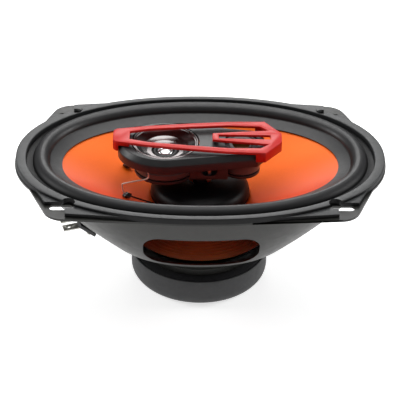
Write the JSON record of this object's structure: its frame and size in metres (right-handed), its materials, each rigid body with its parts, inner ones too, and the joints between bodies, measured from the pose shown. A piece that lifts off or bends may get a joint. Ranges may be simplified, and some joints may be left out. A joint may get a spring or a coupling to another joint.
{
  "type": "coaxial car speaker",
  "caption": "Oval coaxial car speaker with an eared steel basket, a cone on a half-roll surround, and a bridge carrying a tweeter and a super tweeter.",
  "frame": {"origin": "centre of the magnet boot's bottom face", "axes": "+Z along the speaker's axis to the listener, +X along the oval's long axis, +Y along its short axis"},
  "size_m": [0.2382, 0.1534, 0.1023],
  "materials": {
    "steel_black": "satin black paint on stamped steel",
    "ring_black": "satin black moulding",
    "surround_black": "soft black rubber roll",
    "cone_orange": "metallic orange film over a moulded cone",
    "cap_black": "semi-gloss black dome",
    "housing_black": "fine-textured black moulding",
    "trim_red": "satin red moulding",
    "chrome": "polished",
    "boot_black": "matt black rubber",
    "ferrite": "ground ferrite",
    "zinc": "zinc-plated",
    "spider_cloth": "resin-treated corrugated cloth",
    "former_film": "amber film",
    "copper": "enamelled copper wire",
    "tinned": "tinned copper braid"
  },
  "bodies": {
    "frame": {"back_plate": "zinc", "base_screw_1": "zinc", "base_screw_2": "zinc", "basket": "steel_black", "board_rivet_1": "zinc", "board_rivet_2": "zinc", "bridge_base": "housing_black", "bridge_housing": "housing_black", "bridge_post": "housing_black", "cone_lead_back": "tinned", "cone_lead_front": "tinned", "crossover_capacitor": "housing_black", "magnet": "ferrite", "magnet_boot": "boot_black", "piezo_disc": "copper", "post_screw": "zinc", "post_washer": "zinc", "seat_rivet_1": "zinc", "seat_rivet_2": "zinc", "seat_rivet_3": "zinc", "seat_rivet_4": "zinc", "spider": "spider_cloth", "super_tweeter_cup": "housing_black", "super_tweeter_diaphragm": "former_film", "super_tweeter_face": "chrome", "surround": "surround_black", "terminal_board": "housing_black", "terminal_narrow": "zinc", "terminal_rivet_1": "zinc", "terminal_rivet_2": "zinc", "terminal_wide": "zinc", "top_plate": "steel_black", "trim_ring": "ring_black", "tweeter_carrier": "housing_black", "tweeter_cup": "housing_black", "tweeter_horn": "chrome", "tweeter_lead_back": "tinned", "tweeter_lead_front": "tinned", "tweeter_lug_back": "tinned", "tweeter_lug_front": "tinned", "tweeter_magnet": "zinc", "tweeter_suspension": "cap_black", "tweeter_trim": "trim_red"},
    "cone_assembly": {"cone": "cone_orange", "dust_cap": "cap_black", "coil_former": "former_film", "coil_winding": "copper", "eyelet_front": "zinc", "eyelet_back": "zinc", "coil_lead_front": "cap_black", "coil_lead_back": "cap_black"},
    "tweeter_diaphragm": {"tweeter_dome": "chrome"}
  },
  "joints": [
    {"name": "cone_travel", "type": "slide", "parent": "frame", "child": "cone_assembly", "axis": [0, 0, 1], "range_m": [-0.004, 0.004], "stiffness_N_per_m": 2600, "deforming": ["surround", "spider", "tweeter_lead_front", "tweeter_lead_back", "cone_lead_front", "cone_lead_back"]},
    {"name": "tweeter_dome_travel", "type": "slide", "parent": "frame", "child": "tweeter_diaphragm", "axis": [0, 0, 1], "range_m": [-0.0003, 0.0003], "stiffness_N_per_m": 1500, "deforming": ["tweeter_suspension"]}
  ]
}
